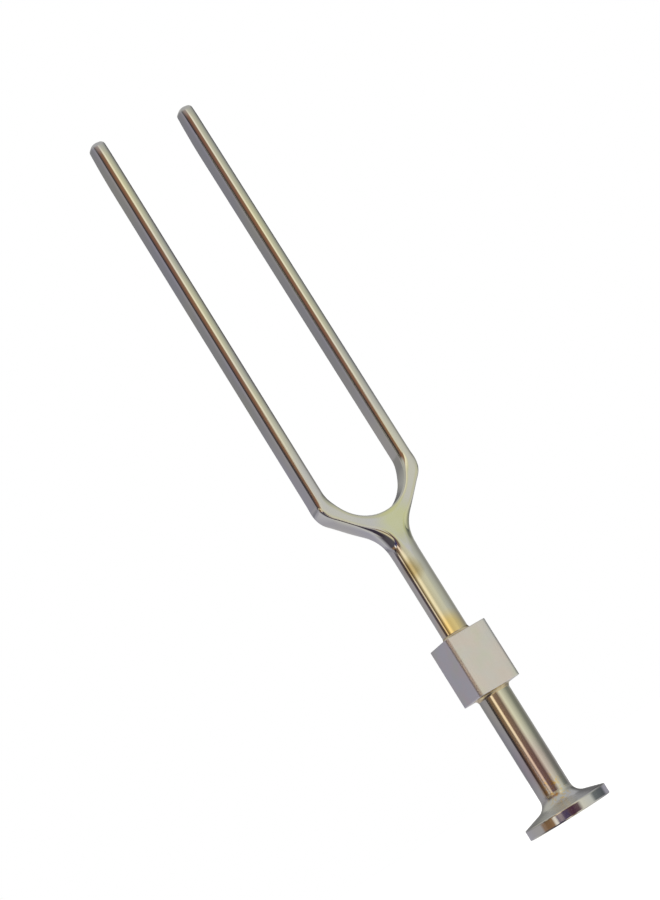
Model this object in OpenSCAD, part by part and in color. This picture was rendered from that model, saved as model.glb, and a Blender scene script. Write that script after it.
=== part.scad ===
// Tuning fork with a square block on its stem and a round foot.
// It stands on the foot, on the XY plane. Z runs up the stem to the tips, X runs from tine to tine,
// and Y is the depth of the flat bar that the fork is bent from.

/* [Tines] */
// Length of a tine, from the bottom of the gap to the tip
tine_len = 107.7; // [60:0.1:240]
// Thickness of a tine, in the direction it vibrates
tine_t = 3.6; // [2:0.1:6]
// Depth of a tine and of the yoke, front to back
tine_d = 6; // [4:0.1:10]
// Clear gap between the tines, and diameter of its round bottom
tine_gap = 20.5; // [12:0.1:36]
// Bevel around the end of each tine
tip_bevel = 0.2; // [0.1:0.05:1]

/* [Flexing line] */
// Straight stretch of tine left on the yoke, above the bend
root_land = 3; // [1:0.1:8]
// Slit between the yoke and a tine that swings on it
flex_slit = 0.05; // [0.03:0.01:0.2]

/* [Yoke] */
// Metal on the axis, from the bottom of the gap down to where the sloping undersides would meet
yoke_web = 8.5; // [6:0.1:18]
// Angle of the undersides above level
underside_angle = 45; // [35:1:55]
// Outer radius of the shoulders
shoulder_r = 7.5; // [1:0.1:9]
// Radius that sweeps the undersides into the neck
neck_sweep_r = 9; // [5:0.1:10]

/* [Neck] */
// Diameter of the round neck
neck_dia = 6.4; // [5.3:0.1:8]
// Neck, from the block up to where the sloping undersides would meet
neck_len = 23.5; // [12:0.1:50]
// Height over which the front and back of the neck run out into the flat yoke
neck_runout = 9; // [4:0.1:12]

/* [Block] */
// Width of the square block
block_w = 11.2; // [10:0.1:16]
// Height of the block
block_h = 14.5; // [11:0.1:30]
// Bevel along the block's four upright edges
block_bevel = 0.6; // [0.1:0.05:1.2]

/* [Stem] */
// Diameter of the stem
stem_dia = 7.8; // [6.5:0.1:9]
// Stem, from the foot up to the block
stem_len = 25.4; // [10:0.1:60]

/* [Foot] */
// Diameter of the foot
foot_dia = 20.2; // [17:0.1:40]
// Height of the rim
rim_h = 2.4; // [1:0.1:5]
// Angle of the foot's top above level
foot_slope = 16.5; // [5:0.5:25]
// Radius that sweeps the foot's top into the stem
foot_sweep_r = 2.6; // [1:0.1:3]
// Short straight collar on top of the foot, which the stem seats on
foot_collar = 0.3; // [0.1:0.1:3]

/* [Joints in the stem] */
// Diameter of the two spigots that enter the block
spigot_dia = 5; // [3:0.1:5.2]
// Length of each spigot in the block
spigot_len = 5; // [2:0.1:5.2]
// Diameter of the threaded end that enters the foot, drawn plain
foot_spigot_dia = 4; // [2.5:0.1:5]
// Length of the threaded end
foot_spigot_len = 4; // [1.5:0.1:4]
// Radial clearance of the spigots and of the threaded end in their holes
fit_gap = 0.04; // [0.02:0.01:0.1]
// Leg of the brazed fillets on the two ends of the block
braze_leg = 0.8; // [0.4:0.1:1]
// Thickness left at the feather edges of a brazed fillet
braze_edge = 0.06; // [0.03:0.01:0.15]

/* [Hidden] */
$fn = 96;
// overlap that joins touching shapes and clears cuts
lap = 1;
// how far under the yoke's flat faces the neck's runout ends
runout_sink = 0.04;
neck_r = neck_dia / 2;
stem_r = stem_dia / 2;
foot_r = foot_dia / 2;
half_out = tine_gap / 2 + tine_t;
slope = tan(underside_angle);
// foot: the height where its sloping top would meet the stem, and the height that its sweep adds
foot_corner_z = rim_h + (foot_r - stem_r) * tan(foot_slope);
foot_sweep_h = foot_sweep_r * tan((90 - foot_slope) / 2);
foot_top = foot_corner_z + foot_sweep_h + foot_collar;
// heights of the stack, from the foot up
block_z = foot_top + stem_len;
neck_z = block_z + block_h;
apex_z = neck_z + neck_len;
gap_z = apex_z + yoke_web;
bend_z = gap_z + tine_gap / 2;
root_z = bend_z + root_land;
tip_z = gap_z + tine_len;
// the sweep starts on the neck at sweep_z and meets the underside sweep_turn higher
sweep_z = apex_z + neck_r * slope - neck_sweep_r * tan(underside_angle / 2);
shoulder_z = apex_z + half_out * slope;

// Flat shape drawn in X and Z, given a depth of d in Y
module upright(d)
    rotate([90, 0, 0])
        linear_extrude(height = d, center = true)
            children();

// Round part: the children's outline in radius and height, turned about Z
module turned()
    rotate_extrude()
        children();

// Centre of a shoulder's rounding, tangent to the side and to the underside
shoulder_c = [half_out - shoulder_r, shoulder_z + shoulder_r * (1 / cos(underside_angle) - slope)];
// Centre of the hollow sweep, tangent to the neck and to the underside
sweep_c = [neck_r + neck_sweep_r, sweep_z];
// Unit normal of an underside, pointing down and out
down_out = [sin(underside_angle), -cos(underside_angle)];

// Right half of the yoke's outline: neck sweep, underside, shoulder and the root of the tine
module half_outline() {
    difference() {
        polygon([
            [0, sweep_z],
            sweep_c,
            sweep_c - neck_sweep_r * down_out,
            shoulder_c + shoulder_r * down_out,
            [half_out, shoulder_c[1]],
            [half_out, root_z],
            [0, root_z]
        ]);
        translate(sweep_c)
            circle(r = neck_sweep_r);
    }
    translate(shoulder_c)
        circle(r = shoulder_r);
}

// The yoke's whole outline, with the round bottom of the gap cut out
module outline() {
    difference() {
        union() {
            half_outline();
            mirror([1, 0])
                half_outline();
        }
        translate([0, bend_z])
            circle(d = tine_gap);
        translate([-tine_gap / 2, bend_z])
            square([tine_gap, root_land + lap]);
    }
}

// Outline of the lathe-turned sweep that trims the flat yoke's corners down to the round neck
module sweep_outline() {
    difference() {
        translate([0, sweep_z])
            square([half_out + tine_d, root_z - sweep_z]);
        translate(sweep_c)
            circle(r = neck_sweep_r);
        translate(sweep_c - [0, lap])
            square([half_out + tine_d, neck_sweep_r + lap]);
    }
}

// One tine, on the side given: -1 is left and 1 is right
module tine(side) {
    z0 = root_z + flex_slit;
    h = tip_z - z0;
    translate([side * (tine_gap + tine_t) / 2, 0, z0])
        intersection() {
            upright(tine_d)
                bar_outline(tine_t, h);
            rotate([0, 0, 90])
                upright(tine_t)
                    bar_outline(tine_d, h);
        }
}

// Upright bar seen from one side, w wide and h high, with the bevel at its top
module bar_outline(w, h)
    polygon([
        [-w / 2, 0],
        [w / 2, 0],
        [w / 2, h - tip_bevel],
        [w / 2 - tip_bevel, h],
        [tip_bevel - w / 2, h],
        [-w / 2, h - tip_bevel]
    ]);

// Outline of a brazed fillet in a corner: r is the rod's radius and up is 1 or -1
module braze_outline(r, up)
    difference() {
        translate([r, up > 0 ? 0 : -braze_leg])
            square(braze_leg);
        translate([r + braze_leg + braze_edge, up * (braze_leg + braze_edge)])
            circle(r = braze_leg);
    }

module left_tine() {
    color([0.78, 0.77, 0.73])
        tine(-1);
}

module right_tine() {
    color([0.78, 0.77, 0.73])
        tine(1);
}

module yoke() {
    color([0.76, 0.76, 0.7]) {
        intersection() {
            upright(tine_d)
                outline();
            turned()
                sweep_outline();
        }
        // round neck, running out into the flat front and back
        translate([0, 0, neck_z])
            cylinder(d = neck_dia, h = sweep_z - neck_z);
        translate([0, 0, sweep_z])
            cylinder(r1 = neck_r, r2 = tine_d / 2 - runout_sink, h = neck_runout);
        translate([0, 0, neck_z - spigot_len])
            cylinder(d = spigot_dia, h = spigot_len + lap);
    }
}

module block() {
    half = block_w / 2;
    color([0.74, 0.73, 0.69])
        translate([0, 0, block_z])
            difference() {
                linear_extrude(height = block_h)
                    intersection() {
                        square(block_w, center = true);
                        rotate(45)
                            square((block_w - block_bevel) * sqrt(2), center = true);
                    }
                translate([0, 0, -lap])
                    cylinder(r = spigot_dia / 2 + fit_gap, h = block_h + 2 * lap);
            }
}

module neck_braze() {
    color([0.8, 0.72, 0.5])
        translate([0, 0, neck_z])
            turned()
                braze_outline(neck_r, 1);
}

module stem_braze() {
    color([0.8, 0.72, 0.5])
        translate([0, 0, block_z])
            turned()
                braze_outline(stem_r, -1);
}

module stem() {
    color([0.76, 0.74, 0.68]) {
        translate([0, 0, foot_top])
            cylinder(d = stem_dia, h = stem_len);
        translate([0, 0, block_z - lap])
            cylinder(d = spigot_dia, h = spigot_len + lap);
        translate([0, 0, foot_top - foot_spigot_len])
            cylinder(d = foot_spigot_dia, h = foot_spigot_len + lap);
    }
}

// Half outline of the foot, in radius and height
module foot_outline() {
    sweep_end = [stem_r + foot_sweep_r, foot_corner_z + foot_sweep_h];
    difference() {
        union() {
            square([foot_r, rim_h]);
            polygon([
                [0, 0],
                [foot_r, rim_h],
                sweep_end - foot_sweep_r * [sin(foot_slope), cos(foot_slope)],
                sweep_end,
                [0, sweep_end[1]]
            ]);
            square([stem_r, foot_top]);
        }
        translate(sweep_end)
            circle(r = foot_sweep_r);
    }
}

module foot() {
    color([0.75, 0.74, 0.72])
        difference() {
            turned()
                foot_outline();
            translate([0, 0, foot_top - foot_spigot_len - fit_gap])
                cylinder(r = foot_spigot_dia / 2 + fit_gap, h = foot_spigot_len + lap);
        }
}

left_tine();
right_tine();
yoke();
neck_braze();
block();
stem_braze();
stem();
foot();
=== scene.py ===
"""Polished tuning fork on a round foot, with a square block brazed into its stem.

Laid out as an add-on. Run as a script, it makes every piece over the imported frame, then the stage.
All sizes are in metres and all places come from the frame: Z runs up the stem, X from tine to tine,
and Y is the depth of the bar.
"""

from collections import namedtuple
from math import atan2, cos, degrees, pi, radians, sin, sqrt, tan

import bmesh
import bpy
from bpy.props import FloatProperty, FloatVectorProperty, IntProperty, PointerProperty
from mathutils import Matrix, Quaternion, Vector


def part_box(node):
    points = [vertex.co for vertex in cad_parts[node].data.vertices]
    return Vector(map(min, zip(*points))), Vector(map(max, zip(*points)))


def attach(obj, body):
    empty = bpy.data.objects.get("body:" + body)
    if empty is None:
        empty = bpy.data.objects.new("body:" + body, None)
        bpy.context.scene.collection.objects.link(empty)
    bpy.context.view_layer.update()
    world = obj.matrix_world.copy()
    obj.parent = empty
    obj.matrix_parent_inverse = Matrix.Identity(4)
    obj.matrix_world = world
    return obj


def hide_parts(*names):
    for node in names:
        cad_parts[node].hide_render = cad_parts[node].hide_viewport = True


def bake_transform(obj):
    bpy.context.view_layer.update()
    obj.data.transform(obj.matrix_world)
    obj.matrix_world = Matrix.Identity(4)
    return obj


bl_info = {
    "name": "Tuning Fork",
    "version": (1, 0, 0),
    "blender": (4, 5, 0),
    "location": "View3D > Sidebar > Fork",
    "description": "Makes a polished tuning fork with a block and a foot, and the stage it stands on",
    "category": "Add Mesh",
}

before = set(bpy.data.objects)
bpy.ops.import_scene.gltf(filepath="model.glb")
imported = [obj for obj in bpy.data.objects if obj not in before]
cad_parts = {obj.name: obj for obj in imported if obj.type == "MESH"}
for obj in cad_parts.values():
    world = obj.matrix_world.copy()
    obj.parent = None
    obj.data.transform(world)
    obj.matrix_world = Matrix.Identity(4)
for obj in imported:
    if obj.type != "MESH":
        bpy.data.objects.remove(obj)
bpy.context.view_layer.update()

MM = 0.001


# ---- sizes read from the frame


def node_size(node, axis):
    low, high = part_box(node)
    return high[axis] - low[axis]


TINE_LOW, TINE_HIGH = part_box("right_tine")
TINE_T = TINE_HIGH.x - TINE_LOW.x
TINE_D = TINE_HIGH.y - TINE_LOW.y
HALF_GAP = TINE_LOW.x
HALF_OUT = TINE_HIGH.x
TIP_Z = TINE_HIGH.z
ROOT_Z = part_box("yoke")[1].z
NECK_R = node_size("yoke", 1) / 2
BLOCK_LOW, BLOCK_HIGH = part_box("block")
NECK_Z = BLOCK_HIGH.z
STEM_R = node_size("stem", 0) / 2
STEM_LOW, STEM_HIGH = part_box("stem")
FOOT_R = node_size("foot", 0) / 2
FOOT_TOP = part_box("foot")[1].z


# ---- settings


def length(name, text, millimetres):
    return FloatProperty(
        name=name, description=text, default=millimetres * MM, min=0.0, unit="LENGTH", precision=5
    )


def amount(name, text, default, **more):
    return FloatProperty(name=name, description=text, default=default, min=0.0, **more)


def angle(name, text, degrees):
    return FloatProperty(name=name, description=text, default=radians(degrees), subtype="ANGLE")


def colour(name, text, default):
    return FloatVectorProperty(
        name=name, description=text, default=default, size=3, min=0.0, max=1.0, subtype="COLOR"
    )


class ForkSizes(bpy.types.PropertyGroup):
    root_land: length("Root land", "Straight tine left on the yoke, above the bend", 3.0)
    yoke_web: length("Yoke web", "Metal on the axis, from the gap to where the undersides would meet", 8.5)
    shoulder_r: length("Shoulder radius", "Outer radius of the shoulders", 7.5)
    sweep_r: length("Neck sweep", "Radius that sweeps the undersides into the neck", 9.0)
    edge_round: length("Tine edge rounding", "Radius left by the wheel on the tines' edges", 1.0)
    yoke_edge: length("Yoke edge rounding", "Radius left by the wheel on the yoke's edges", 0.4)
    crown: length("Tine crown", "How far the wheel has crowned the tines' front and back", 0.55)
    yoke_crown: length("Yoke crown", "How far the wheel has crowned the yoke's front and back", 0.07)
    crown_reach: length("Crown reach", "How far in from an edge the crown reaches", 1.7)
    side_crown: length("Side crown", "How far the sides are crowned", 0.07)
    tongue_top: length("Tongue top", "Height over the neck sweep where the flat has its full width", 9.2)
    tongue_end: length("Tongue end", "Depth under the neck sweep where the flat has died away", 2.4)
    flat_turn: length("Flat turn", "Height over the neck sweep where the flat leaves the bar's depth", 6.0)
    under_crown: length("Underside crown", "How far the sloping undersides are crowned", 0.32)
    tip_round: length("Tip rounding", "Rounding around the end of a tine", 0.8)
    tip_ease: length("Tip easing", "How far the back of a tine eases in at its tip", 1.4)
    tip_ease_len: length("Tip easing length", "Length over which the back of a tine eases in", 12.0)
    tip_roll: length("Tip roll", "How far the front of a tine rolls back at its tip", 0.3)
    tip_roll_len: length("Tip roll length", "Length over which the front of a tine rolls back", 4.0)
    bend_reach: length("Bend reach", "Length of tine, from its root, that bends in use", 31.7)
    block_corner: length("Block corner", "Rounding of the block's upright edges", 1.0)
    block_lip: length("Block lip", "Softening around the block's two ends", 0.16)
    spigot_r: length("Spigot radius", "Radius of the two spigots in the block", 2.5)
    spigot_len: length("Spigot length", "Length of the neck's spigot in the block", 5.0)
    fit_gap: length("Fit gap", "Clearance around a spigot", 0.04)
    thread_r: length("Threaded end radius", "Radius of the stem's end in the foot", 2.0)
    thread_len: length("Threaded end length", "Length of the stem's end in the foot", 4.0)
    braze_leg: length("Braze leg", "Leg of a brazed fillet", 0.8)
    braze_edge: length("Braze edge", "Thickness at the feather edge of a brazed fillet", 0.06)
    rim_h: length("Rim height", "Height of the foot's rim", 2.4)
    rim_round: length("Rim rounding", "Softening of the rim's two edges", 0.2)
    foot_slope: angle("Foot slope", "Angle of the foot's top above level", 16.5)
    foot_sweep_r: length("Foot sweep", "Radius that sweeps the foot's top into the stem", 2.6)
    around: IntProperty(
        name="Around", description="Faces around a turned piece", default=96, min=24, max=256
    )
    rows: IntProperty(name="Rows", description="Rows of faces along a tine", default=120, min=40, max=400)


class ForkFinish(bpy.types.PropertyGroup):
    steel_warm: colour("Warm steel", "Polished steel where it leans to yellow", (0.80, 0.785, 0.68))
    steel_cool: colour("Cool steel", "Polished steel where it leans to grey violet", (0.72, 0.715, 0.74))
    steel_rough: amount("Polish", "Roughness of the polished steel", 0.085, max=1.0)
    ground: colour("Ground steel", "Satin ground faces of the block", (0.84, 0.83, 0.86))
    ground_rough: amount("Grind", "Roughness of the ground faces", 0.34, max=1.0)
    braze: colour("Braze", "Pale gold of the brazed fillets", (0.86, 0.74, 0.50))


class ForkStage(bpy.types.PropertyGroup):
    floor_r: length("Floor radius", "Radius of the round floor", 3000)
    floor_paint: colour("Floor", "Pale paint of the floor", (0.92, 0.92, 0.92))
    floor_glow: amount("Floor glow", "Light that the floor gives off, as a lit table does", 0.8)
    sky: amount("Overhead light", "Brightness of the overhead diffuser", 0.5)
    table: colour("Table", "Pale table that the fork mirrors from below", (0.62, 0.61, 0.58))
    cloth: colour("Cloth", "Dark cloth in front of the fork's left side", (0.05, 0.04, 0.06))
    camera_d: length("Camera distance", "From the camera to the middle of the fork", 460)
    camera_mid: length("Camera middle", "Height of the point that the camera circles", 93)
    camera_az: angle("Camera bearing", "Bearing of the camera", -25)
    camera_el: angle("Camera height", "Elevation of the camera", -10)
    camera_roll: angle("Camera roll", "Roll of the camera", -32)
    aim: FloatVectorProperty(
        name="Aim", description="Point the camera looks at", default=(-0.0023, 0.0, 0.0969),
        size=3, unit="LENGTH",
    )
    lens: FloatProperty(name="Lens", description="Focal length in millimetres", default=81.4, min=10.0)


# ---- helpers for nodes and numbers


def feed(tree, given, socket):
    """Links a socket to an input, or sets the input to a value. Colours are given without alpha."""
    if isinstance(given, bpy.types.NodeSocket):
        tree.links.new(given, socket)
    elif socket.type == "RGBA":
        socket.default_value = (*given, 1.0)
    else:
        socket.default_value = given


def put(tree, kind, *inputs, **named):
    """Adds a node and feeds its inputs, in their order or by name."""
    node = tree.nodes.new(kind)
    for socket, given in zip(node.inputs, inputs):
        feed(tree, given, socket)
    for name, given in named.items():
        feed(tree, given, node.inputs[name])
    return node


def maths(tree, operation, *inputs, clamp=False):
    node = tree.nodes.new("ShaderNodeMath")
    node.operation = operation
    node.use_clamp = clamp
    for socket, given in zip(node.inputs, inputs):
        feed(tree, given, socket)
    return node.outputs[0]


def plus(tree, a, b):
    return maths(tree, "ADD", a, b)


def minus(tree, a, b):
    return maths(tree, "SUBTRACT", a, b)


def times(tree, a, b):
    return maths(tree, "MULTIPLY", a, b)


def share_of(tree, part, whole):
    """part / whole, kept between 0 and 1."""
    return maths(tree, "DIVIDE", part, whole, clamp=True)


def split(tree, vector):
    """The X, Y and Z of a vector, by name."""
    return put(tree, "ShaderNodeSeparateXYZ", vector).outputs


def distance(tree, here, there):
    node = put(tree, "ShaderNodeVectorMath", here, there)
    node.operation = "DISTANCE"
    return node.outputs["Value"]


def spread(tree, value, low, high, to_low=0.0, to_high=1.0):
    """Maps low to high onto to_low to to_high, and holds both ends."""
    return put(tree, "ShaderNodeMapRange", value, low, high, to_low, to_high).outputs["Result"]


def blend_colour(tree, share, first, second):
    node = tree.nodes.new("ShaderNodeMix")
    node.data_type = "RGBA"
    for place, given in ((0, share), (6, first), (7, second)):
        feed(tree, given, node.inputs[place])
    return node.outputs[2]


def smooth(t):
    t = min(max(t, 0.0), 1.0)
    return t * t * (3 - 2 * t)


def lerp(a, b, t):
    return a + (b - a) * t


# ---- finishes


def new_finish(name, **values):
    """A new material with its tree and shader, and constant values on the shader's own sockets."""
    material = bpy.data.materials.new(name)
    material.use_nodes = True
    tree = material.node_tree
    shader = tree.nodes["Principled BSDF"]
    for label, value in values.items():
        feed(tree, value, shader.inputs[label])
    return material, tree, shader


def object_place(tree):
    return tree.nodes.new("ShaderNodeTexCoord").outputs["Object"]


def grain(tree, scale, detail, stretch=(1, 1, 1), place=(0, 0, 0)):
    """Noise on the object's own coordinates, drawn out along an axis by a small stretch value."""
    moved = put(tree, "ShaderNodeMapping", object_place(tree), Location=place, Scale=stretch)
    return put(tree, "ShaderNodeTexNoise", moved.outputs[0], Scale=scale, Detail=detail).outputs["Fac"]


def dress(tree, shader, tint, rough, *bumps):
    """Joins a colour, a roughness and bumps, given as (height, depth in metres), to a shader."""
    tree.links.new(tint, shader.inputs["Base Color"])
    tree.links.new(rough, shader.inputs["Roughness"])
    normal = None
    for height, depth in bumps:
        node = put(tree, "ShaderNodeBump", Height=height, Distance=depth)
        if normal is not None:
            tree.links.new(normal, node.inputs["Normal"])
        normal = node.outputs["Normal"]
    tree.links.new(normal, shader.inputs["Normal"])


def spot(tree, centre, radius, ragged=0.35):
    """1 at a point on the fork, fading to 0 at a radius with a ragged edge."""
    away = distance(tree, object_place(tree), centre)
    edge = maths(tree, "MULTIPLY_ADD", grain(tree, 420, 3), ragged * radius, away)
    return spread(tree, edge, radius * (0.35 + ragged / 2), radius * (1 + ragged / 2), 1, 0)


# height over which the polish turns softer, and how much rougher it gets
DULL_FADE, DULLER_BY = 0.3 * MM, 0.15


def polished_steel(name, finish, reflection_spots=(), reflection_flecks=None, dull_from=None):
    """Wheel-polished steel, with painted reflection laid into its base colour: spots given as (centre,
    radius, strength, colour), and one more spot given the same way that is broken into fine grains.
    Above the height dull_from the polish is softer."""
    material, tree, shader = new_finish(name, Metallic=1.0, Roughness=finish.steel_rough)
    drift = spread(tree, grain(tree, 70, 2, (1, 1, 0.7)), 0.36, 0.64)
    tint = blend_colour(tree, drift, finish.steel_warm, finish.steel_cool)
    # painted reflection: each spot lays a reflected colour into the steel's base colour
    for centre, radius, strength, shade in reflection_spots:
        tint = blend_colour(tree, times(tree, spot(tree, centre, radius), strength), tint, shade)
    # painted reflection, broken into fine grains over one spot
    if reflection_flecks:
        centre, radius, strength, shade = reflection_flecks
        fine = spread(tree, grain(tree, 1700, 2, place=(0.5, 0.2, 0.1)), 0.5, 0.62, 0, strength)
        tint = blend_colour(tree, times(tree, fine, spot(tree, centre, radius)), tint, shade)
    smear = grain(tree, 140, 3, (1, 1, 0.12))
    rough = spread(tree, smear, 0.3, 0.7, finish.steel_rough * 0.7, finish.steel_rough * 1.4)
    if dull_from is not None:
        height = split(tree, object_place(tree))["Z"]
        rough = plus(tree, rough, spread(tree, height, dull_from, dull_from + DULL_FADE, 0, DULLER_BY))
    waves = grain(tree, 70, 1.5, (1, 1, 0.4))
    lines = grain(tree, 5200, 2, (1, 1, 0.02))
    dress(tree, shader, tint, rough, (waves, 0.16 * MM), (lines, 0.0008 * MM))
    return material


def ground_steel(finish):
    """Flat ground steel: fine scratches across the face, faint pink and green mottling, no mirror."""
    rough = finish.ground_rough
    material, tree, shader = new_finish("Ground_Steel", Metallic=1.0, Roughness=rough)
    pink = spread(tree, grain(tree, 150, 3), 0.42, 0.62, 0, 0.5)
    pinkish = blend_colour(tree, pink, finish.ground, (0.92, 0.80, 0.78))
    green = spread(tree, grain(tree, 170, 3, place=(0.4, 0.9, 0.2)), 0.5, 0.66, 0, 0.45)
    tint = blend_colour(tree, green, pinkish, (0.80, 0.85, 0.74))
    scratch = grain(tree, 3200, 3, (1, 1, 0.06))
    uneven = spread(tree, scratch, 0.3, 0.7, rough * 0.9, rough * 1.12)
    dress(tree, shader, tint, uneven, (scratch, 0.004 * MM), (grain(tree, 1500, 4), 0.006 * MM))
    return material


def braze_metal(finish):
    """Silver solder, pale gold and a little dull where the flux sat."""
    material, tree, shader = new_finish("Braze", Metallic=1.0, Roughness=0.2)
    dull = grain(tree, 700, 4)
    tint = blend_colour(tree, spread(tree, dull, 0.4, 0.65, 0, 0.6), finish.braze, (0.62, 0.50, 0.33))
    dress(tree, shader, tint, spread(tree, dull, 0.35, 0.7, 0.14, 0.34), (grain(tree, 1200, 2), 0.03 * MM))
    return material


# ---- making and handing over pieces


def mesh_object(name, mesh, material=None):
    thing = bpy.data.objects.new(name, mesh)
    bpy.context.scene.collection.objects.link(thing)
    if material:
        mesh.materials.clear()
        mesh.materials.append(material)
    return thing


def mesh_of(name, shape):
    """Turns a bmesh into a mesh."""
    mesh = bpy.data.meshes.new(name)
    shape.to_mesh(mesh)
    shape.free()
    return mesh


def tidy_faces(mesh, sharp=radians(32)):
    """Closes seams, turns faces outwards and keeps only real edges sharp."""
    shape = bmesh.new()
    shape.from_mesh(mesh)
    bmesh.ops.remove_doubles(shape, verts=shape.verts, dist=2e-7)
    bmesh.ops.recalc_face_normals(shape, faces=shape.faces)
    for face in shape.faces:
        face.smooth = True
    shape.to_mesh(mesh)
    shape.free()
    mesh.set_sharp_from_angle(angle=sharp)
    mesh.update()


def hand_over(piece, node, body="handle"):
    """Hides the CAD node that a finished piece stands in for, and hangs the piece on the body that it rides
    on, if it has one.
    """
    if not piece.data.polygons:
        raise RuntimeError(piece.name + " came out empty")
    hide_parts(node)
    if body:
        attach(piece, body)


# ---- the rounded, crowned bar, and the yoke

# rows of faces over the crown, round the edge, down the side and across the web
CROWN_STEPS, ROUND_STEPS, SIDE_STEPS, WEB_STEPS = 5, 8, 3, 4
# cuts across the yoke: at the root, above the shoulder, round the shoulder, along the underside, round
# the neck sweep and down the neck
ROOT_CUTS, SIDE_CUTS, SHOULDER_CUTS, UNDER_CUTS, SWEEP_CUTS, NECK_CUTS = 4, 5, 18, 14, 24, 12
# share of the bend by which the tines' soft edges have turned into the yoke's crisp ones
CRISP_BY = 0.55
# most that a crown may take of the metal between the gap and the underside, at the root and at the yoke
CROWN_PARTS = (0.475, 0.36)
# most that a crown may take of the flat's width, and of the depth that the rounding leaves
CROWN_OF_FLAT, CROWN_OF_DEPTH = 0.85, 0.9
# narrowest flat, and least depth that a rounding leaves
LEAST_FLAT, LEAST_DEPTH = 0.02 * MM, 0.012 * MM
# distance in from the shoulder over which the underside takes its own crown
UNDER_EASE = 3 * MM
# power by which the cuts turn towards the axis, late and all at once
LATE = 8


def edge_rows(depth, rounding, crown, reach, side_crown):
    """Half of a bar's face, edge and side as (inset from the outline, y) rows, from the face's middle
    out to the edge and down the side to its middle."""
    rows = [(lerp(reach, rounding, k / CROWN_STEPS), 0.0) for k in range(CROWN_STEPS)]
    for k in range(ROUND_STEPS + 1):
        turn = pi / 2 * k / ROUND_STEPS
        rows.append((rounding * (1 - sin(turn)), rounding * (1 - cos(turn))))
    placed = [(inset, depth - drop - crown * (1 - inset / reach) ** 2) for inset, drop in rows]
    low = placed[-1][1]
    placed += [(0.0, low * (1 - k / SIDE_STEPS)) for k in range(1, SIDE_STEPS + 1)]
    return [(inset + side_crown * (y / depth) ** 2 * (1 - inset / reach) ** 2, y) for inset, y in placed]


def whole_edge(depth, rounding, crown, reach, side_crown):
    """edge_rows from the front face round to the back face. The front is at -y."""
    half = edge_rows(depth, rounding, crown, reach, side_crown)
    return [(inset, -y) for inset, y in half] + [(inset, y) for inset, y in reversed(half[:-1])]


# One cut across the right half of the yoke, from its inner line to its outer line. Below the gap there
# is no inner line, and the cut starts on the axis.
Station = namedtuple(
    "Station", "inner inner_out outer outer_out inner_polish section axis_depth", defaults=[None]
)


def sloped(turn):
    """Direction in the fork's own plane, turned down from straight out."""
    return Vector((cos(turn), -sin(turn)))


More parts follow.
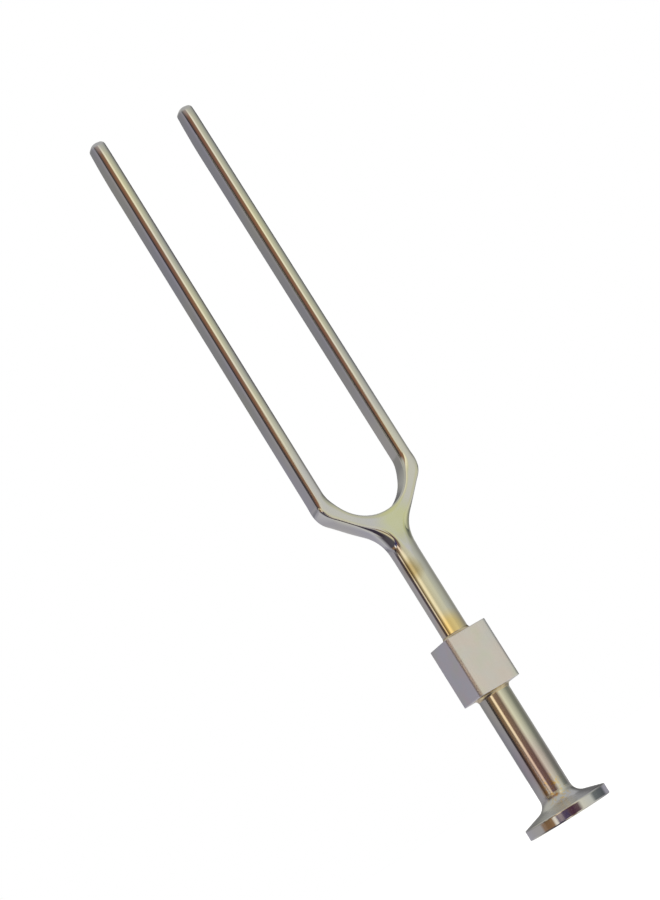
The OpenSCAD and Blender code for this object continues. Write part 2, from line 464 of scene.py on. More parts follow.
def yoke_stations(sizes):
    bend_z = ROOT_Z - sizes.root_land
    gap_z = bend_z - HALF_GAP
    apex_z = gap_z - sizes.yoke_web
    shoulder_z = apex_z + HALF_OUT + sizes.shoulder_r * (sqrt(2) - 1)
    shoulder = Vector((HALF_OUT - sizes.shoulder_r, shoulder_z))
    sweep = Vector((NECK_R + sizes.sweep_r, apex_z + NECK_R - sizes.sweep_r * tan(pi / 8)))
    slant = Vector((sqrt(0.5), -sqrt(0.5)))

    # (point, outward direction) along the outer line, down to where the sweep begins
    outer = []
    for k in range(SIDE_CUTS):
        outer.append((Vector((HALF_OUT, lerp(bend_z, shoulder.y, k / SIDE_CUTS))), Vector((1, 0))))
    for k in range(SHOULDER_CUTS + 1):
        out = sloped(pi / 4 * k / SHOULDER_CUTS)
        outer.append((shoulder + sizes.shoulder_r * out, out))
    under_top = shoulder + sizes.shoulder_r * slant
    under_end = sweep - sizes.sweep_r * slant
    for k in range(1, UNDER_CUTS + 1):
        outer.append((under_top.lerp(under_end, k / UNDER_CUTS), slant))
    bends = len(outer) - 1

    top = sweep.y + sizes.tongue_top
    end = sweep.y - sizes.tongue_end

    def polished(share):
        """Rounding and crown of the bar, from the root of the tine, 0, to the crisp yoke, 1."""
        return lerp(sizes.edge_round, sizes.yoke_edge, share), lerp(sizes.crown, sizes.yoke_crown, share)

    def depth_at(z):
        return lerp(NECK_R, TINE_D / 2, smooth((z - end) / (sweep.y + sizes.flat_turn - end)))

    def shaped(point, out, half_w, edge, crown, zone, room=1.0):
        """Section where the flat narrows to the round neck. The crown is up to zone wide, inside room."""
        opened = smooth((point.y - end) / (top - end))
        flat = max((half_w - edge) * opened, LEAST_FLAT)
        rounding = min(half_w - flat, depth_at(point.y) - LEAST_DEPTH)
        flat = half_w - rounding
        share = min(1.0, flat / (sizes.crown_reach - edge))
        reach = min(rounding + min(zone, CROWN_OF_FLAT * flat), room)
        depth = depth_at((point - out * reach).y)
        crown = min(crown * share, (depth - rounding) * CROWN_OF_DEPTH)
        under = smooth((HALF_OUT - point.x) / UNDER_EASE) * opened
        side = lerp(sizes.side_crown * share, sizes.under_crown, under)
        return dict(depth=depth, rounding=rounding, crown=crown, reach=reach, side_crown=side)

    stations = []
    edge, crown = polished(0)
    section = dict(
        depth=TINE_D / 2, rounding=edge, crown=crown, reach=sizes.crown_reach, side_crown=sizes.side_crown
    )
    for k in range(ROOT_CUTS):
        z = lerp(ROOT_Z, bend_z, k / ROOT_CUTS)
        stations.append(Station(
            Vector((HALF_GAP, z)), Vector((-1, 0)), Vector((HALF_OUT, z)), Vector((1, 0)),
            (edge, crown, sizes.crown_reach), section,
        ))
    centre = Vector((0, bend_z))
    left_over = atan2(outer[-1][0].x, bend_z - outer[-1][0].y)
    for k, (point, out) in enumerate(outer):
        away = sloped(atan2(bend_z - point.y, point.x) + left_over * (k / bends) ** LATE)
        inner = centre + HALF_GAP * away
        crisp = smooth(k / bends / CRISP_BY)
        edge, crown = polished(crisp)
        part = lerp(*CROWN_PARTS, crisp)
        room = min(sizes.crown_reach, part * min((other - inner).length for other, _ in outer))
        room_out = min(sizes.crown_reach, part * ((point - centre).length - HALF_GAP))
        section = shaped(point, out, point.x, edge, crown, sizes.crown_reach - edge, room_out)
        stations.append(Station(inner, -away, point, out, (edge, crown, room), section))

    def on_axis(z, point, out, half_w, zone):
        section = shaped(point, out, half_w, edge, crown, zone)
        stations.append(Station(Vector((0, z)), None, point, out, None, section, depth_at(z)))

    start = gap_z - sizes.crown_reach
    narrow = section["reach"] - section["rounding"]
    widest = sizes.crown_reach - edge
    for k in range(1, SWEEP_CUTS + 1):
        out = sloped(pi / 4 * (1 - k / SWEEP_CUTS))
        point = sweep - sizes.sweep_r * out
        zone = lerp(narrow, widest, smooth(k / SWEEP_CUTS))
        on_axis(lerp(start, sweep.y, k / SWEEP_CUTS), point, out, point.x, zone)
    for k in range(1, NECK_CUTS + 1):
        point = Vector((NECK_R, lerp(sweep.y, NECK_Z, k / NECK_CUTS)))
        on_axis(point.y, point, Vector((1, 0)), NECK_R, widest)
    return stations


def yoke_mesh(sizes):
    shape = bmesh.new()
    cuts = yoke_stations(sizes)

    def vertex(place, y):
        return shape.verts.new((place.x, y, place.y))

    loops = []
    for cut in cuts:
        outer = [vertex(cut.outer - cut.outer_out * inset, y)
                 for inset, y in whole_edge(**cut.section)]
        if cut.inner_out is None:
            inner = None
            ends = (vertex(cut.inner, -cut.axis_depth), vertex(cut.inner, cut.axis_depth))
        else:
            edge, crown, reach = cut.inner_polish
            inner = [vertex(cut.inner - cut.inner_out * inset, y)
                     for inset, y in whole_edge(TINE_D / 2, edge, crown, reach, sizes.side_crown)]
            ends = (inner[0], inner[-1])
        web = []
        for start, finish in zip(ends, (outer[0], outer[-1])):
            between = [start.co.lerp(finish.co, k / WEB_STEPS) for k in range(1, WEB_STEPS)]
            web.append([start, *map(shape.verts.new, between), finish])
        loops.append((inner, web, outer))

    def strip(a, b):
        for k in range(len(a) - 1):
            shape.faces.new((a[k], a[k + 1], b[k + 1], b[k]))

    for (inner_a, web_a, outer_a), (inner_b, web_b, outer_b) in zip(loops, loops[1:]):
        strip(outer_a, outer_b)
        strip(web_a[0], web_b[0])
        strip(web_a[1], web_b[1])
        if inner_a and inner_b:
            strip(inner_a, inner_b)

    # root face that the tine stands on
    inner, web, outer = loops[0]
    shape.faces.new(web[0][:-1] + outer[:-1] + web[1][:0:-1] + inner[:0:-1])

    # spigot under the neck
    inner, web, outer = loops[-1]
    neck = web[0][:-1] + outer[:-1] + web[1][::-1]
    thinner = sizes.spigot_r / NECK_R
    ring = neck
    for z in (NECK_Z, NECK_Z - sizes.spigot_len):
        lower = [shape.verts.new((v.co.x * thinner, v.co.y * thinner, z)) for v in neck]
        strip(ring, lower)
        ring = lower
    shape.faces.new(ring)

    # left half
    whole = shape.verts[:] + shape.edges[:] + shape.faces[:]
    copy = bmesh.ops.duplicate(shape, geom=whole)["geom"]
    for item in copy:
        if isinstance(item, bmesh.types.BMVert):
            item.co.x = -item.co.x
    mesh = mesh_of("yoke", shape)
    tidy_faces(mesh)
    return mesh


class FORK_OT_yoke(bpy.types.Operator):
    """Makes the yoke, with its shoulders, the round neck and the spigot under it"""

    bl_idname = "fork.yoke"
    bl_label = "Yoke and Neck"

    def execute(self, context):
        finish = context.scene.fork_finish
        gap_z = ROOT_Z - context.scene.fork_sizes.root_land - HALF_GAP
        front = -TINE_D / 2
        steel = polished_steel("Polished_Steel_Yoke", finish, reflection_spots=(
            # painted reflection: a yellow-green patch on the front under the gap, a brown highlight where
            # the neck begins, and a gold patch on the neck just over the block
            ((1.5 * MM, front, gap_z - 3.5 * MM), 6.5 * MM, 0.75, (0.80, 0.82, 0.46)),
            ((-2.2 * MM, front, gap_z - 14.5 * MM), 3.2 * MM, 0.7, (0.46, 0.36, 0.16)),
            ((-1.0 * MM, front, NECK_Z + 2.0 * MM), 4.5 * MM, 0.9, (0.88, 0.70, 0.36)),
        ))
        piece = mesh_object("Yoke", yoke_mesh(context.scene.fork_sizes), steel)
        hand_over(piece, "yoke")
        return {"FINISHED"}


# ---- tines, and how pieces are grown


def node_group(name, *floats, **others):
    """Starts a Geometry Nodes tree. Its inputs are a geometry, the floats and the others by kind."""
    tree = bpy.data.node_groups.new(name, "GeometryNodeTree")
    tree.interface.new_socket(name="Geometry", in_out="OUTPUT", socket_type="NodeSocketGeometry")
    kinds = {"Geometry": "NodeSocketGeometry", **dict.fromkeys(floats, "NodeSocketFloat"), **others}
    for label, kind in kinds.items():
        tree.interface.new_socket(name=label, in_out="INPUT", socket_type=kind)
    return tree, tree.nodes.new("NodeGroupInput").outputs


def position(tree):
    return tree.nodes.new("GeometryNodeInputPosition").outputs[0]


def close_group(tree, mesh, x, y, z, material):
    """Moves the mesh's points and ends the tree in Realize Instances and Set Material."""
    moved = put(tree, "ShaderNodeCombineXYZ", x, y, z)
    placed = put(tree, "GeometryNodeSetPosition", mesh, Position=moved.outputs[0])
    real = put(tree, "GeometryNodeRealizeInstances", placed.outputs[0])
    painted = put(tree, "GeometryNodeSetMaterial", real.outputs[0], Material=material)
    put(tree, "NodeGroupOutput", painted.outputs[0])


def grown(name, base, tree, values):
    """Runs a Geometry Nodes tree on a base mesh and returns the result as a plain mesh object."""
    seed = mesh_object(name + "_Base", base)
    modifier = seed.modifiers.new("Shape", "NODES")
    modifier.node_group = tree
    for socket in tree.interface.items_tree:
        if socket.item_type == "SOCKET" and socket.in_out == "INPUT" and socket.name in values:
            modifier[socket.identifier] = values[socket.name]
    graph = bpy.context.evaluated_depsgraph_get()
    mesh = bpy.data.meshes.new_from_object(seed.evaluated_get(graph))
    mesh.name = name
    seed.modifiers.remove(modifier)
    bpy.data.objects.remove(seed)
    tidy_faces(mesh)
    return mesh_object(name, mesh)


def outline_mesh(name, points, closed):
    mesh = bpy.data.meshes.new(name)
    edges = [(k, k + 1) for k in range(len(points) - 1)]
    if closed:
        edges.append((len(points) - 1, 0))
    mesh.from_pydata(points, edges, [])
    return mesh


# share of a tine's rows that lie below its rounded tip
STRAIGHT_ROWS = 0.92


def tine_tree():
    """Sweeps a bar's section up a straight line, rounds its end over and eases its back in."""
    tree, given = node_group(
        "Tine", "Root Height", "Length", "Half Width", "Half Depth", "Middle", "Tip Rounding",
        "Back Easing", "Easing Length", "Front Roll", "Roll Length",
        Rows="NodeSocketInt", Material="NodeSocketMaterial",
    )
    top = put(tree, "ShaderNodeCombineXYZ", 0.0, 0.0, given["Length"])
    line = put(tree, "GeometryNodeCurvePrimitiveLine", End=top.outputs[0])
    path = put(tree, "GeometryNodeResampleCurve", Curve=line.outputs[0], Count=given["Rows"])
    section = put(tree, "GeometryNodeMeshToCurve", given["Geometry"])
    bar = put(tree, "GeometryNodeCurveToMesh", path.outputs[0], section.outputs[0], **{"Fill Caps": True})

    place = split(tree, position(tree))
    along = maths(tree, "DIVIDE", place["Z"], given["Length"])
    straight = share_of(tree, along, STRAIGHT_ROWS)
    body_len = minus(tree, given["Length"], given["Tip Rounding"])
    tip = share_of(tree, minus(tree, along, STRAIGHT_ROWS), 1 - STRAIGHT_ROWS)
    turn = times(tree, tip, pi / 2)
    rise = times(tree, given["Tip Rounding"], maths(tree, "SINE", turn))
    height = maths(tree, "MULTIPLY_ADD", straight, body_len, rise)
    inset = times(tree, given["Tip Rounding"], minus(tree, 1.0, maths(tree, "COSINE", turn)))

    def drawn_in(value, half):
        return times(tree, value, minus(tree, 1.0, maths(tree, "DIVIDE", inset, half)))

    def towards_tip(reach, depth):
        """0 below the last reach of the tine, rising as a square to depth at its tip."""
        risen = share_of(tree, minus(tree, height, minus(tree, given["Length"], reach)), reach)
        return times(tree, maths(tree, "POWER", risen, 2.0), depth)

    x = drawn_in(place["X"], given["Half Width"])
    y = drawn_in(place["Y"], given["Half Depth"])
    ease = towards_tip(given["Easing Length"], given["Back Easing"])
    y = minus(tree, y, times(tree, ease, share_of(tree, y, given["Half Depth"])))
    roll = towards_tip(given["Roll Length"], given["Front Roll"])
    y = plus(tree, y, times(tree, roll, share_of(tree, times(tree, y, -1.0), given["Half Depth"])))
    x = plus(tree, x, given["Middle"])
    z = plus(tree, height, given["Root Height"])
    close_group(tree, bar.outputs[0], x, y, z, given["Material"])
    return tree


def bar_section(sizes):
    """Closed section of a tine about its own middle, matching the yoke's root."""
    edge = whole_edge(TINE_D / 2, sizes.edge_round, sizes.crown, sizes.crown_reach, sizes.side_crown)
    half = TINE_T / 2
    right = [(half - inset, y, 0.0) for inset, y in edge]
    return right + [(-x, y, 0.0) for x, y, _ in reversed(right)]


class FORK_OT_tines(bpy.types.Operator):
    """Makes the two tines, as still pieces on no body, though a fork's tines bend from their roots when it
    sounds
    """

    bl_idname = "fork.tines"
    bl_label = "Tines"

    def execute(self, context):
        sizes = context.scene.fork_sizes
        steel = polished_steel("Polished_Steel_Tines", context.scene.fork_finish)
        tree = tine_tree()
        middle = (HALF_GAP + HALF_OUT) / 2
        for side, node, body in ((-1, "left_tine", "left_tine_body"), (1, "right_tine", "right_tine_body")):
            base = outline_mesh(node + "_section", bar_section(sizes), True)
            piece = grown(node.title(), base, tree, {
                "Root Height": ROOT_Z, "Length": TIP_Z - ROOT_Z,
                "Half Width": TINE_T / 2, "Half Depth": TINE_D / 2, "Middle": side * middle,
                "Tip Rounding": sizes.tip_round,
                "Back Easing": sizes.tip_ease, "Easing Length": sizes.tip_ease_len,
                "Front Roll": sizes.tip_roll, "Roll Length": sizes.tip_roll_len,
                "Rows": sizes.rows, "Material": steel,
            })
            hand_over(piece, node, body=None)
            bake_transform(piece)
        return {"FINISHED"}


# ---- turned pieces


def turned_tree():
    """Turns an outline, given as (radius, 0, height) points, about the Z axis."""
    tree, given = node_group(
        "Turned", **{"Faces Around": "NodeSocketInt", "Material": "NodeSocketMaterial"}
    )
    points = put(tree, "GeometryNodeAttributeDomainSize", given["Geometry"]).outputs["Point Count"]
    columns = plus(tree, given["Faces Around"], 1.0)
    sheet = put(tree, "GeometryNodeMeshGrid", 1.0, 1.0, columns, points)
    place = split(tree, position(tree))
    turn = times(tree, plus(tree, place["X"], 0.5), 2 * pi)
    row = times(tree, plus(tree, place["Y"], 0.5), minus(tree, points, 1.0))
    sample = tree.nodes.new("GeometryNodeSampleIndex")
    sample.data_type = "FLOAT_VECTOR"
    sample.domain = "POINT"
    feed(tree, given["Geometry"], sample.inputs["Geometry"])
    feed(tree, position(tree), sample.inputs["Value"])
    feed(tree, maths(tree, "ROUND", row), sample.inputs["Index"])
    outline = split(tree, sample.outputs[0])
    x = times(tree, outline["X"], maths(tree, "COSINE", turn))
    y = times(tree, outline["X"], maths(tree, "SINE", turn))
    close_group(tree, sheet.outputs["Mesh"], x, y, outline["Z"], given["Material"])
    return tree


def turned_piece(name, outline, material, sizes):
    tree = bpy.data.node_groups.get("Turned") or turned_tree()
    base = outline_mesh(name + "_outline", [(r, 0.0, z) for r, z in outline], False)
    return grown(name, base, tree, {"Faces Around": sizes.around, "Material": material})


def quarter(centre, radius, start, end, steps):
    """Points on an arc about (r, z), with angles in degrees from the outward direction."""
    turns = [radians(lerp(start, end, k / steps)) for k in range(steps + 1)]
    return [(centre[0] + radius * cos(t), centre[1] + radius * sin(t)) for t in turns]


# rows of faces up the stem, round a softened edge of the rim, round the foot's sweep and over a fillet
STEM_ROWS, RIM_ROWS, SWEEP_ROWS, FILLET_ROWS = 24, 5, 12, 10
# colour of the painted reflection, broken into gold grains, on either side of the joint in the foot
REFLECTED_GOLD = (0.90, 0.66, 0.26)


class FORK_OT_stem(bpy.types.Operator):
    """Makes the round stem, with the spigot in the block and the end in the foot"""

    bl_idname = "fork.stem"
    bl_label = "Stem"

    def execute(self, context):
        sizes = context.scene.fork_sizes
        steel = polished_steel(
            "Polished_Steel_Stem", context.scene.fork_finish,
            # painted reflection: a violet patch low on the stem's front, and gold grains just over the foot
            reflection_spots=(((-1.5 * MM, -STEM_R, FOOT_TOP + 7 * MM), 7 * MM, 0.5, (0.66, 0.50, 0.58)),),
            reflection_flecks=((-1.5 * MM, -STEM_R, FOOT_TOP + 1 * MM), 3.5 * MM, 0.9, REFLECTED_GOLD),
        )
        outline = [(0, STEM_LOW.z), (sizes.thread_r, STEM_LOW.z), (sizes.thread_r, FOOT_TOP)]
        outline += [(STEM_R, lerp(FOOT_TOP, BLOCK_LOW.z, k / STEM_ROWS)) for k in range(STEM_ROWS + 1)]
        outline += [(sizes.spigot_r, BLOCK_LOW.z), (sizes.spigot_r, STEM_HIGH.z), (0, STEM_HIGH.z)]
        piece = turned_piece("Stem", outline, steel, sizes)
        hand_over(piece, "stem")
        return {"FINISHED"}


class FORK_OT_foot(bpy.types.Operator):
    """Makes the round foot, with its rim, sloping top and hollow sweep up to the stem"""

    bl_idname = "fork.foot"
    bl_label = "Foot"

    def execute(self, context):
        sizes = context.scene.fork_sizes
        steel = polished_steel(
            "Polished_Steel_Foot", context.scene.fork_finish,
            # painted reflection: gold grains on the foot's top, just under the stem
            reflection_flecks=((-1.5 * MM, -STEM_R, FOOT_TOP - 0.5 * MM), 3.5 * MM, 0.9, REFLECTED_GOLD),
            dull_from=sizes.rim_h,
        )
        slope = degrees(sizes.foot_slope)
        tangent = tan(radians(90 - slope) / 2)
        sweep_r, soft = sizes.foot_sweep_r, sizes.rim_round
        corner_z = sizes.rim_h + (FOOT_R - STEM_R) * tan(sizes.foot_slope)
        hole_r = sizes.thread_r + sizes.fit_gap
        hole_z = FOOT_TOP - sizes.thread_len - sizes.fit_gap
        # how far down the rim, and in along the slope, the upper rounding runs
        run = soft * tangent
        outline = [(0, 0), (FOOT_R * 0.5, 0), (FOOT_R - 2 * soft, 0)]
        outline += quarter((FOOT_R - soft, soft), soft, -90, 0, RIM_ROWS)
        outline += [(FOOT_R, lerp(2 * soft, sizes.rim_h - 2 * run, k / 3)) for k in range(4)]
        outline += quarter((FOOT_R - soft, sizes.rim_h - run), soft, 0, 90 - slope, RIM_ROWS)
        centre = (STEM_R + sweep_r, corner_z + sweep_r * tangent)
        sweep = quarter(centre, sweep_r, 270 - slope, 180, SWEEP_ROWS)
        (rim_r, rim_z), (sweep_from, sweep_z) = outline[-1], sweep[0]
        outline += [
            (lerp(rim_r, sweep_from, k), lerp(rim_z, sweep_z, k)) for k in (0.06, 0.2, 0.4, 0.6, 0.8)
        ]
        outline += sweep + [(STEM_R, FOOT_TOP), (hole_r, FOOT_TOP), (hole_r, hole_z), (0, hole_z)]
        piece = turned_piece("Foot", outline, steel, sizes)
        hand_over(piece, "foot")
        return {"FINISHED"}


class FORK_OT_brazes(bpy.types.Operator):
    """Makes the two brazed fillets, on the neck and on the stem"""

    bl_idname = "fork.brazes"
    bl_label = "Brazed Fillets"

    def execute(self, context):
        sizes = context.scene.fork_sizes
        filler = braze_metal(context.scene.fork_finish)
        leg, edge = sizes.braze_leg, sizes.braze_edge
        for name, node, rod, z, up in (
            ("Neck_Braze", "neck_braze", NECK_R, BLOCK_HIGH.z, 1),
            ("Stem_Braze", "stem_braze", STEM_R, BLOCK_LOW.z, -1),
        ):
            hollow = quarter((rod + leg + edge, leg + edge), leg, 180, 270, FILLET_ROWS)
            hollow = [(rod + leg if k == len(hollow) - 1 else r, h) for k, (r, h) in enumerate(hollow)]
            ring = [(rod, 0), (rod, leg)] + hollow + [(rod + leg, 0), (rod, 0)]
            outline = [(r, z + up * min(h, leg)) for r, h in ring]
            piece = turned_piece(name, outline, filler, sizes)
            hand_over(piece, node)
        return {"FINISHED"}


# ---- block

# faces along each flat side, round each corner and round a lip, and rows of faces up the block
FLAT_STEPS, CORNER_STEPS, LIP_STEPS, BLOCK_ROWS = 6, 6, 4, 8


def block_loop(half, corner, z):
    """Points around a square with rounded corners, at one height."""
    points = []
    flat = half - corner
    for quadrant in range(4):
        base = pi / 2 * quadrant
        out_x, out_y = cos(base), sin(base)
        for k in range(FLAT_STEPS):
            along = lerp(-flat, flat, k / FLAT_STEPS)
            points.append((half * out_x - along * out_y, half * out_y + along * out_x))
        middle = (flat * (out_x - out_y), flat * (out_y + out_x))
        for k in range(CORNER_STEPS):
            turn = base + pi / 2 * k / CORNER_STEPS
            points.append((middle[0] + corner * cos(turn), middle[1] + corner * sin(turn)))
    return [Vector((x, y, z)) for x, y in points]


class FORK_OT_block(bpy.types.Operator):
    """Makes the square block, with softened edges and the hole for the two spigots"""

    bl_idname = "fork.block"
    bl_label = "Block"

    def execute(self, context):
        sizes = context.scene.fork_sizes
        half = node_size("block", 0) / 2
        hole = sizes.spigot_r + sizes.fit_gap
        lip, corner = sizes.block_lip, sizes.block_corner
        low, high = BLOCK_LOW.z, BLOCK_HIGH.z
        # (inset, distance from the block's end) of the rows of faces over a lip
        lips = [(2 * lip, 0.0)]
        for k in range(LIP_STEPS + 1):
            turn = pi / 2 * k / LIP_STEPS
            lips.append((lip * (1 - sin(turn)), lip * (1 - cos(turn))))
        levels = [(inset, low + rise) for inset, rise in lips]
        for k in range(BLOCK_ROWS + 1):
            levels.append((0.0, lerp(low + 2 * lip, high - 2 * lip, k / BLOCK_ROWS)))
        levels += [(inset, high - rise) for inset, rise in reversed(lips)]
        loops = [block_loop(half - inset, corner - inset, z) for inset, z in levels]

        def ring(z):
            return [Vector((p.x, p.y, 0)).normalized() * hole + Vector((0, 0, z)) for p in loops[0]]

        loops = [ring(low)] + loops + [ring(high)]
        shape = bmesh.new()
        rows = [[shape.verts.new(p) for p in loop] for loop in loops]
        rows.append(rows[0])
        for a, b in zip(rows, rows[1:]):
            for k in range(len(a)):
                n = (k + 1) % len(a)
                face = shape.faces.new((a[k], a[n], b[n], b[k]))
                # the corners are polished, the flat sides ground
                if k % (FLAT_STEPS + CORNER_STEPS) >= FLAT_STEPS:
                    face.material_index = 1
        mesh = mesh_of("block", shape)
        tidy_faces(mesh)
        finish = context.scene.fork_finish
        piece = mesh_object("Block", mesh, ground_steel(finish))
        mesh.materials.append(polished_steel("Polished_Steel_Block_Edges", finish))
        hand_over(piece, "block")
        return {"FINISHED"}


# ---- stage

# Cards around the fork, in tiers from the table up. A card has a bearing in degrees, from the front
# towards the left, and its shade there, or two of each where it is wide.
FAR_TABLE_CARDS = (
    ("table at the back", -180, (0.44, 0.43, 0.48), -152, (0.62, 0.62, 0.62)),
    ("table in shadow", -128, (0.22, 0.22, 0.24)),
    ("grey table", -95, (0.34, 0.34, 0.34)),
    ("pale table", -60, (0.66, 0.65, 0.58), 2, (0.72, 0.7, 0.62)),
    ("brown box", 8, (0.26, 0.18, 0.13), 16, (0.24, 0.16, 0.11)),
    ("lamp glow", 24, (0.95, 0.84, 0.64)),
    ("table in shadow", 42, (0.1, 0.09, 0.11), 100, (0.08, 0.07, 0.09)),
    ("violet-grey table", 118, (0.33, 0.325, 0.36)),
    ("table at the back", 146, (0.58, 0.58, 0.6)),
    ("violet-grey table", 164, (0.42, 0.41, 0.46)),
)
TABLE_CARDS = (
    ("violet-grey wall", -180, (0.38, 0.37, 0.42), -112, (0.38, 0.37, 0.42)),
    ("slate card", -98, (0.1, 0.11, 0.12), -58, (0.14, 0.16, 0.16)),
    ("pale card", -46, (0.66, 0.67, 0.6), -16, (0.74, 0.72, 0.62)),
    ("plum cloth", -6, (0.08, 0.03, 0.06), 18, (0.06, 0.02, 0.06)),
    ("navy cloth", 26, (0.02, 0.02, 0.12), 54, (0.03, 0.03, 0.15)),
    ("lamp", 59, (1.2, 1.15, 1.05), 64, (1.2, 1.15, 1.05)),
    ("brown card", 69, (0.34, 0.2, 0.1), 100, (0.26, 0.15, 0.08)),
    ("violet-grey wall", 108, (0.4, 0.39, 0.44)),
)
WALL_CARDS = (
    ("back wall", -180, (0.34, 0.34, 0.35)),
    ("right wall", -125, (0.36, 0.36, 0.35)),
    ("green-grey curtain", -97, (0.2, 0.2, 0.18), -72, (0.22, 0.23, 0.2)),
    ("front diffuser, edge", -45, (0.5, 0.5, 0.42)),
    ("front diffuser", -14, (0.82, 0.8, 0.66)),
    ("front diffuser, edge", -3, (0.6, 0.52, 0.42)),
    ("brown card", 8, (0.17, 0.11, 0.09), 36, (0.24, 0.14, 0.1)),
    ("lamp strip", 42, (1.15, 0.92, 0.66), 50, (1.15, 0.92, 0.66)),
    ("brown door", 56, (0.22, 0.14, 0.08), 74, (0.18, 0.11, 0.07)),
    ("dark door", 78, (0.03, 0.024, 0.028), 90, (0.03, 0.024, 0.028)),
    ("violet-grey wall", 96, (0.36, 0.35, 0.38), 130, (0.31, 0.3, 0.34)),
    ("back wall", 160, (0.26, 0.26, 0.29)),
)
WINDOW_CARDS = (
    ("back wall", -180, (0.34, 0.34, 0.35)),
    ("right wall", -120, (0.4, 0.4, 0.37)),
    ("curtain", -100, (0.3, 0.3, 0.27)),
    ("window, edge", -50, (0.52, 0.53, 0.45)),
    ("window", -10, (0.72, 0.7, 0.52), 24, (0.7, 0.65, 0.44)),
    ("lamp strip", 38, (1.1, 0.97, 0.64), 50, (1.15, 1.02, 0.68)),
    ("olive card", 62, (0.46, 0.36, 0.18)),
    ("dark card", 74, (0.1, 0.06, 0.04)),
    ("narrow lamp", 79, (1.0, 0.85, 0.62), 84, (1.0, 0.85, 0.62)),
    ("dark door", 90, (0.05, 0.03, 0.035), 108, (0.07, 0.05, 0.06)),
    ("violet-grey wall", 115, (0.4, 0.38, 0.42), 150, (0.36, 0.35, 0.38)),
)
PALE_CARDS = (
    ("back wall", -180, (0.3, 0.3, 0.31)),
    ("right wall", -120, (0.28, 0.28, 0.28), -80, (0.34, 0.34, 0.33)),
    ("pale screen, edge", -50, (0.56, 0.56, 0.54)),
    ("pale screen", -24, (0.66, 0.66, 0.64), 0, (0.68, 0.67, 0.6)),
    ("lamp", 8, (1.0, 0.92, 0.72)),
    ("brown card", 16, (0.3, 0.18, 0.11), 50, (0.24, 0.13, 0.08)),
    ("dark door", 70, (0.06, 0.05, 0.05), 90, (0.05, 0.04, 0.045)),
    ("violet-grey wall", 100, (0.36, 0.35, 0.39), 150, (0.33, 0.32, 0.36)),
)
HIGH_CARDS = (
    ("back wall", -180, (0.28, 0.28, 0.29)),
    ("dark corner", -150, (0.1, 0.1, 0.1), -105, (0.09, 0.09, 0.09)),
    ("right wall", -92, (0.26, 0.26, 0.25), -66, (0.3, 0.31, 0.28)),
    ("diffuser, edge", -44, (0.46, 0.47, 0.38)),
    ("diffuser", -22, (0.66, 0.65, 0.48)),
    ("lamp", -9, (1.05, 0.98, 0.76), -4, (1.05, 0.98, 0.76)),
    ("brown card", 4, (0.3, 0.18, 0.1), 48, (0.26, 0.12, 0.08)),
    ("brown door", 70, (0.15, 0.09, 0.06)),
    ("dark door", 80, (0.05, 0.04, 0.045), 90, (0.05, 0.04, 0.045)),
    ("violet-grey wall", 98, (0.33, 0.32, 0.36), 130, (0.29, 0.28, 0.31)),
    ("back wall", 160, (0.25, 0.25, 0.27)),
)
# direction from the fork to a dark cloth on the table, down in front of its left side
CLOTH_AT = (-0.52, -0.22, -0.80)
# (cards, height where a tier starts, height where it is whole), as the sine of the elevation
CARD_TIERS = (
    (TABLE_CARDS, -0.085, -0.06),
    (WALL_CARDS, -0.022, -0.008),
    (WINDOW_CARDS, 0.045, 0.070),
    (PALE_CARDS, 0.118, 0.135),
    (HIGH_CARDS, 0.175, 0.215),
)
# the same heights for the overhead diffuser, and for the table straight below
OVERHEAD_FADE, BELOW_FADE = (0.38, 0.62), (-0.55, -0.72)
# how far from its own direction the cloth is whole, and where it ends
CLOTH_FADE = (0.34, 0.50)


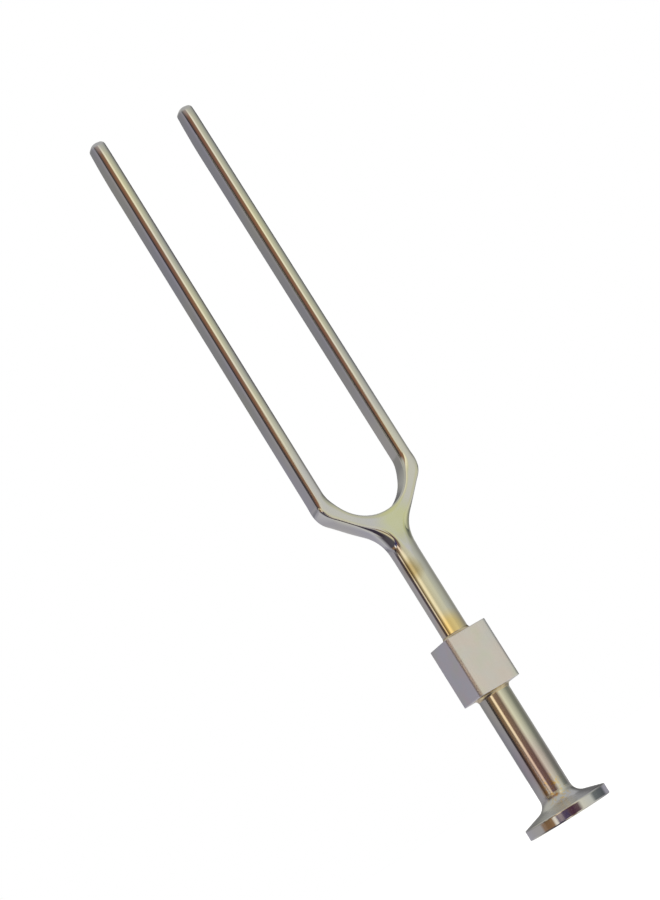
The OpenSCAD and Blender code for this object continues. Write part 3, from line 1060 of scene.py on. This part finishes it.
class FORK_OT_stage(bpy.types.Operator):
    """Lays the pale floor, hangs the soft light and sets up the camera"""

    bl_idname = "fork.stage"
    bl_label = "Stage"

    def execute(self, context):
        stage = context.scene.fork_stage
        self.floor(stage)
        self.light(context, stage)
        self.camera(context, stage)
        context.scene.view_settings.view_transform = "Standard"
        return {"FINISHED"}

    def floor(self, stage):
        shape = bmesh.new()
        bmesh.ops.create_circle(shape, cap_ends=True, segments=96, radius=stage.floor_r)
        mesh = mesh_of("floor", shape)
        paint, tree, shader = new_finish("Floor_Paint", **{
            "Roughness": 0.9, "Specular IOR Level": 0.1,
            "Emission Color": (1, 1, 1), "Emission Strength": stage.floor_glow,
        })
        light = tuple(stage.floor_paint)
        tone = blend_colour(tree, grain(tree, 9, 2), light, tuple(0.985 * c for c in light))
        tree.links.new(tone, shader.inputs["Base Color"])
        floor = mesh_object("Floor", mesh, paint)
        floor.visible_glossy = False

    def light(self, context, stage):
        world = bpy.data.worlds.new("Studio")
        world.use_nodes = True
        tree = world.node_tree
        tree.nodes.clear()
        direction = tree.nodes.new("ShaderNodeTexCoord").outputs["Generated"]
        toward = split(tree, direction)
        left, front = times(tree, toward["X"], -1.0), times(tree, toward["Y"], -1.0)
        share = spread(tree, maths(tree, "ARCTAN2", left, front), -pi, pi)
        around = self.card_ring(tree, share, FAR_TABLE_CARDS)
        for cards, starts, whole in CARD_TIERS:
            risen = spread(tree, toward["Z"], starts, whole)
            around = blend_colour(tree, risen, around, self.card_ring(tree, share, cards))
        overhead = spread(tree, toward["Z"], *OVERHEAD_FADE)
        roofed = blend_colour(tree, overhead, around, (stage.sky, stage.sky, stage.sky * 0.98))
        floored = blend_colour(tree, spread(tree, toward["Z"], *BELOW_FADE), roofed, stage.table)
        aside = distance(tree, direction, Vector(CLOTH_AT).normalized())
        shown = blend_colour(tree, spread(tree, aside, *CLOTH_FADE, 1, 0), floored, stage.cloth)
        mirrored = put(tree, "ShaderNodeBackground", shown)
        plain = put(tree, "ShaderNodeBackground", (1, 1, 1))
        seen = tree.nodes.new("ShaderNodeLightPath").outputs["Is Camera Ray"]
        mixed = put(tree, "ShaderNodeMixShader", seen, mirrored.outputs[0], plain.outputs[0])
        put(tree, "ShaderNodeOutputWorld", mixed.outputs[0])
        context.scene.world = world

    def card_ring(self, tree, share, cards):
        """A ring of cards, in order of bearing, that fade from one to the next."""
        ring = put(tree, "ShaderNodeValToRGB", share)
        stops = ring.color_ramp.elements
        while len(stops) > 1:
            stops.remove(stops[-1])
        stops[0].position = 0
        edges = [edge for _, *card in cards for edge in zip(card[::2], card[1::2])]
        for k, (at, shade) in enumerate(edges):
            stop = stops[0] if k == 0 else stops.new((at + 180) / 360)
            stop.color = (*shade, 1)
        return ring.outputs[0]

    def camera(self, context, stage):
        data = bpy.data.cameras.new("Camera")
        data.lens = stage.lens
        data.sensor_width = 36
        data.clip_start = 0.01
        data.clip_end = 20
        camera = bpy.data.objects.new("Camera", data)
        context.scene.collection.objects.link(camera)
        az, el = stage.camera_az, stage.camera_el
        away = Vector((sin(az) * cos(el), -cos(az) * cos(el), sin(el)))
        camera.location = Vector((0, 0, stage.camera_mid)) + away * stage.camera_d
        look = (Vector(stage.aim) - camera.location).to_track_quat("-Z", "Y")
        camera.rotation_mode = "QUATERNION"
        camera.rotation_quaternion = look @ Quaternion((0, 0, 1), stage.camera_roll)
        context.scene.camera = camera


# ---- panel and registration


OPERATORS = (
    FORK_OT_yoke,
    FORK_OT_tines,
    FORK_OT_brazes,
    FORK_OT_block,
    FORK_OT_stem,
    FORK_OT_foot,
    FORK_OT_stage,
)


class FORK_PT_panel(bpy.types.Panel):
    """Lists the fork's pieces in the order they are made"""

    bl_idname = "FORK_PT_panel"
    bl_label = "Tuning Fork"
    bl_space_type = "VIEW_3D"
    bl_region_type = "UI"
    bl_category = "Fork"

    def draw(self, context):
        for operator in OPERATORS:
            self.layout.operator(operator.bl_idname)
        scene = context.scene
        for group in (scene.fork_sizes, scene.fork_finish, scene.fork_stage):
            for name in group.__annotations__:
                self.layout.prop(group, name)


CLASSES = (ForkSizes, ForkFinish, ForkStage, *OPERATORS, FORK_PT_panel)


def register():
    for item in CLASSES:
        bpy.utils.register_class(item)
    bpy.types.Scene.fork_sizes = PointerProperty(type=ForkSizes)
    bpy.types.Scene.fork_finish = PointerProperty(type=ForkFinish)
    bpy.types.Scene.fork_stage = PointerProperty(type=ForkStage)


def unregister():
    del bpy.types.Scene.fork_stage, bpy.types.Scene.fork_finish, bpy.types.Scene.fork_sizes
    for item in reversed(CLASSES):
        bpy.utils.unregister_class(item)


def main():
    register()
    bpy.ops.fork.yoke()
    bpy.ops.fork.tines()
    bpy.ops.fork.brazes()
    bpy.ops.fork.block()
    bpy.ops.fork.stem()
    bpy.ops.fork.foot()
    bpy.ops.fork.stage()


if __name__ == "__main__":
    main()
